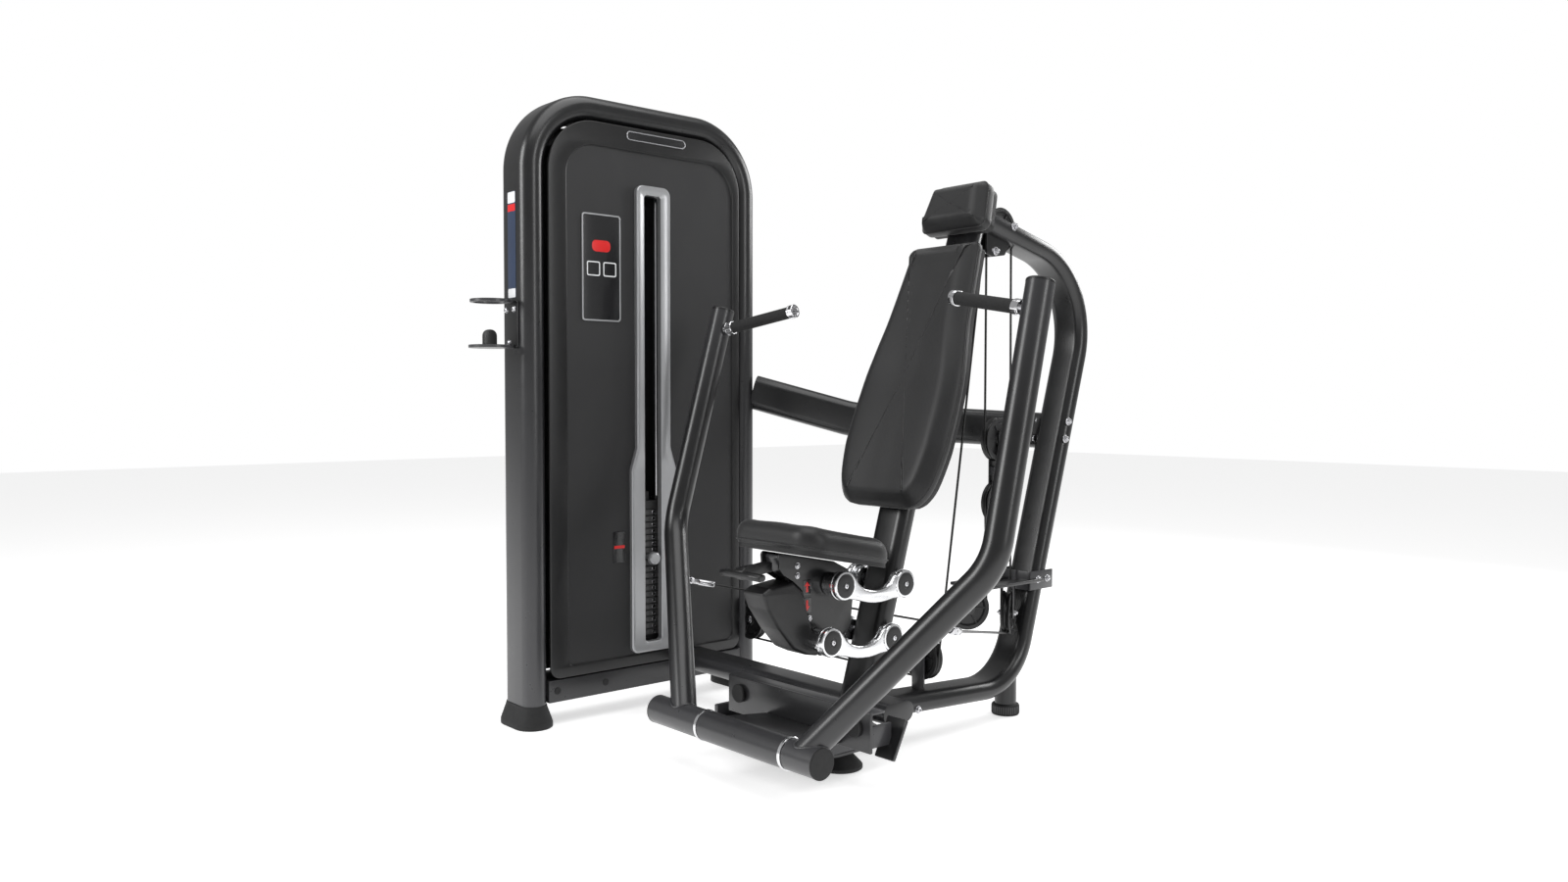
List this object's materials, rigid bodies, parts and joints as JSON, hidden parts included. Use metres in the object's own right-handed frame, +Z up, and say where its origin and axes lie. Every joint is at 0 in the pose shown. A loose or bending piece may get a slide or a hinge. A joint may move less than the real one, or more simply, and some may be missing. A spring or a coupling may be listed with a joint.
{
  "type": "chest press machine",
  "caption": "Weight-stack chest press machine with bent-tube frame, two press arms on a floor-level pivot, four-bar height-adjustable seat, back and head pads.",
  "frame": {"origin": "middle of the machine's footprint, on the floor", "axes": "+X towards the seated user's left, with the weight tower on the -X side; +Y towards the back of the machine, so the user faces -Y; +Z up"},
  "size_m": [1.3921, 1.4759, 1.638],
  "materials": {
    "frame_black": "textured powder coat, semi-gloss",
    "shroud_black": "fine moulded grain",
    "moulded_black": "moulded nylon",
    "trim_silver": "satin silver paint",
    "chrome_steel": "polished",
    "cast_plate": "black paint",
    "link_aluminium": "polished cast",
    "rubber_black": "matte",
    "pad_leather": "fine-grain upholstery",
    "cable_black": "nylon-coated wire rope"
  },
  "bodies": {
    "base": {"tower_arch": "frame_black", "tower_boot_front": "rubber_black", "tower_boot_rear": "rubber_black", "shroud_front": "shroud_black", "shroud_rear": "shroud_black", "slot_trim": "trim_silver", "guide_rod_front": "chrome_steel", "guide_rod_rear": "chrome_steel", "crown_bracket": "frame_black", "stack_buffer": "rubber_black", "resting_plates": "cast_plate", "stack_cable": "cable_black", "base_beam": "frame_black", "cross_frame": "frame_black", "foot_left": "rubber_black", "foot_right": "rubber_black", "loop_frame": "frame_black", "seat_post": "frame_black", "upper_beam": "frame_black", "rear_foot": "rubber_black", "pivot_shaft": "chrome_steel", "pivot_housing": "frame_black", "stop_left": "frame_black", "stop_right": "frame_black", "back_cushion": "pad_leather", "head_cushion": "pad_leather", "pulley_bracket": "frame_black", "lift_cable": "cable_black", "loop_cable": "cable_black", "riser_cable": "cable_black", "accessory_holder": "frame_black"},
    "stack": {"head_plate": "cast_plate", "lifted_plates": "cast_plate", "selector_rod": "chrome_steel"},
    "pin": {"selector_pin": "chrome_steel"},
    "left_arm": {"left_arm": "frame_black", "left_handle": "chrome_steel", "left_grip": "rubber_black"},
    "right_arm": {"right_arm": "frame_black", "right_handle": "chrome_steel", "right_grip": "rubber_black"},
    "upper_links": {"link_upper_left": "link_aluminium", "link_upper_right": "link_aluminium"},
    "lower_links": {"link_lower_left": "link_aluminium", "link_lower_right": "link_aluminium"},
    "seat": {"seat_carriage": "frame_black", "seat_cover": "moulded_black", "seat_cushion": "pad_leather"},
    "lever": {"seat_lever": "moulded_black"},
    "block": {"floating_block": "frame_black"},
    "upper_wheel": {"upper_pulley": "moulded_black"},
    "floating_wheel": {"floating_pulley": "moulded_black"},
    "crown_wheel": {"crown_pulley": "moulded_black"},
    "top_wheel": {"top_pulley": "moulded_black"},
    "front_wheel": {"front_pulley": "moulded_black"},
    "tower_wheel": {"tower_base_pulley": "moulded_black"},
    "left_wheel": {"swivel_pulley_left": "moulded_black"},
    "right_wheel": {"swivel_pulley_right": "moulded_black"},
    "left_cable": {"arm_cable_left": "cable_black"},
    "right_cable": {"arm_cable_right": "cable_black"}
  },
  "joints": [
    {"name": "stack_lift", "type": "slide", "parent": "base", "child": "stack", "axis": [0, 0, 1], "range_m": [0, 0.3], "deforming": ["stack_cable"]},
    {"name": "pin_pull", "type": "slide", "parent": "stack", "child": "pin", "axis": [1, 0, 0], "range_m": [0, 0.05]},
    {"name": "left_arm_press", "type": "hinge", "parent": "base", "child": "left_arm", "pos_m": [0.34095, -0.48995, 0.111], "axis": [1, 0, 0], "range_deg": [0, 30]},
    {"name": "right_arm_press", "type": "hinge", "parent": "base", "child": "right_arm", "pos_m": [-0.06105, -0.48995, 0.111], "axis": [1, 0, 0], "range_deg": [0, 30]},
    {"name": "block_drop", "type": "slide", "parent": "base", "child": "block", "axis": [0, 0, -1], "range_m": [0, 0.15], "deforming": ["loop_cable", "riser_cable"]},
    {"name": "seat_height", "type": "hinge", "parent": "base", "child": "upper_links", "pos_m": [0.13995, -0.05495, 0.41], "axis": [-1, 0, 0], "range_deg": [-15, 25]},
    {"name": "seat_level", "type": "hinge", "parent": "upper_links", "child": "seat", "pos_m": [0.13995, -0.25195, 0.425], "axis": [-1, 0, 0], "range_deg": [-25, 15]},
    {"name": "lower_link_swing", "type": "hinge", "parent": "base", "child": "lower_links", "pos_m": [0.13995, -0.09495, 0.287], "axis": [-1, 0, 0], "range_deg": [-15, 25]},
    {"name": "lever_squeeze", "type": "hinge", "parent": "seat", "child": "lever", "pos_m": [0.13995, -0.40995, 0.476], "axis": [-1, 0, 0], "range_deg": [0, 8], "stiffness_Nm_per_rad": 4, "springref_deg": -14.32},
    {"name": "crown_spin", "type": "hinge", "parent": "base", "child": "crown_wheel", "pos_m": [-0.60205, -0.18695, 1.48], "axis": [-1, 0, 0], "range_deg": [0, 330]},
    {"name": "tower_spin", "type": "hinge", "parent": "base", "child": "tower_wheel", "pos_m": [-0.52805, 0.09955, 0.202], "axis": [0, -1, 0], "range_deg": [0, 330]},
    {"name": "front_spin", "type": "hinge", "parent": "base", "child": "front_wheel", "pos_m": [0.13995, 0.09955, 0.202], "axis": [0, -1, 0], "range_deg": [0, 330]},
    {"name": "top_spin", "type": "hinge", "parent": "base", "child": "top_wheel", "pos_m": [0.13995, 0.38805, 1.29], "axis": [-1, 0, 0], "range_deg": [0, 330]},
    {"name": "upper_spin", "type": "hinge", "parent": "block", "child": "upper_wheel", "pos_m": [0.13995, 0.39105, 0.738], "axis": [-1, 0, 0], "range_deg": [0, 165]},
    {"name": "floating_spin", "type": "hinge", "parent": "block", "child": "floating_wheel", "pos_m": [0.13995, 0.39405, 0.572], "axis": [-1, 0, 0], "continuous": true},
    {"name": "left_pulley_spin", "type": "hinge", "parent": "base", "child": "left_wheel", "pos_m": [0.17395, 0.39405, 0.282], "axis": [-0.8625, -0.506, 0], "range_deg": [0, 165]},
    {"name": "right_pulley_spin", "type": "hinge", "parent": "base", "child": "right_wheel", "pos_m": [0.10595, 0.31005, 0.296], "axis": [-0.8312, 0.556, 0], "range_deg": [0, 165]},
    {"name": "left_cable_swing", "type": "hinge", "parent": "base", "child": "left_cable", "pos_m": [-1.21162, -0.18526, 0.87667], "axis": [-0.2695, -0.3561, -0.8948], "range_deg": [0, 5.41]},
    {"name": "right_cable_swing", "type": "hinge", "parent": "base", "child": "right_cable", "pos_m": [1.23301, -0.23744, 0.74555], "axis": [-0.2286, 0.3599, 0.9045], "range_deg": [0, 6.38]}
  ],
  "couplings": [
    {"joint": "left_arm_press", "follows": "stack_lift", "rad_per_m": 1.7453},
    {"joint": "right_arm_press", "follows": "stack_lift", "rad_per_m": 1.7453},
    {"joint": "block_drop", "follows": "stack_lift", "ratio": 0.5},
    {"joint": "crown_spin", "follows": "stack_lift", "rad_per_m": 18.797},
    {"joint": "tower_spin", "follows": "stack_lift", "rad_per_m": 18.797},
    {"joint": "front_spin", "follows": "stack_lift", "rad_per_m": 18.797},
    {"joint": "top_spin", "follows": "stack_lift", "rad_per_m": 18.797},
    {"joint": "upper_spin", "follows": "stack_lift", "rad_per_m": 9.3985},
    {"joint": "left_pulley_spin", "follows": "stack_lift", "rad_per_m": 9.3985},
    {"joint": "right_pulley_spin", "follows": "stack_lift", "rad_per_m": 9.3985},
    {"joint": "left_cable_swing", "follows": "stack_lift", "rad_per_m": 0.31181},
    {"joint": "right_cable_swing", "follows": "stack_lift", "rad_per_m": 0.36843},
    {"joint": "seat_level", "follows": "seat_height", "ratio": -1},
    {"joint": "lower_link_swing", "follows": "seat_height", "ratio": 1}
  ]
}
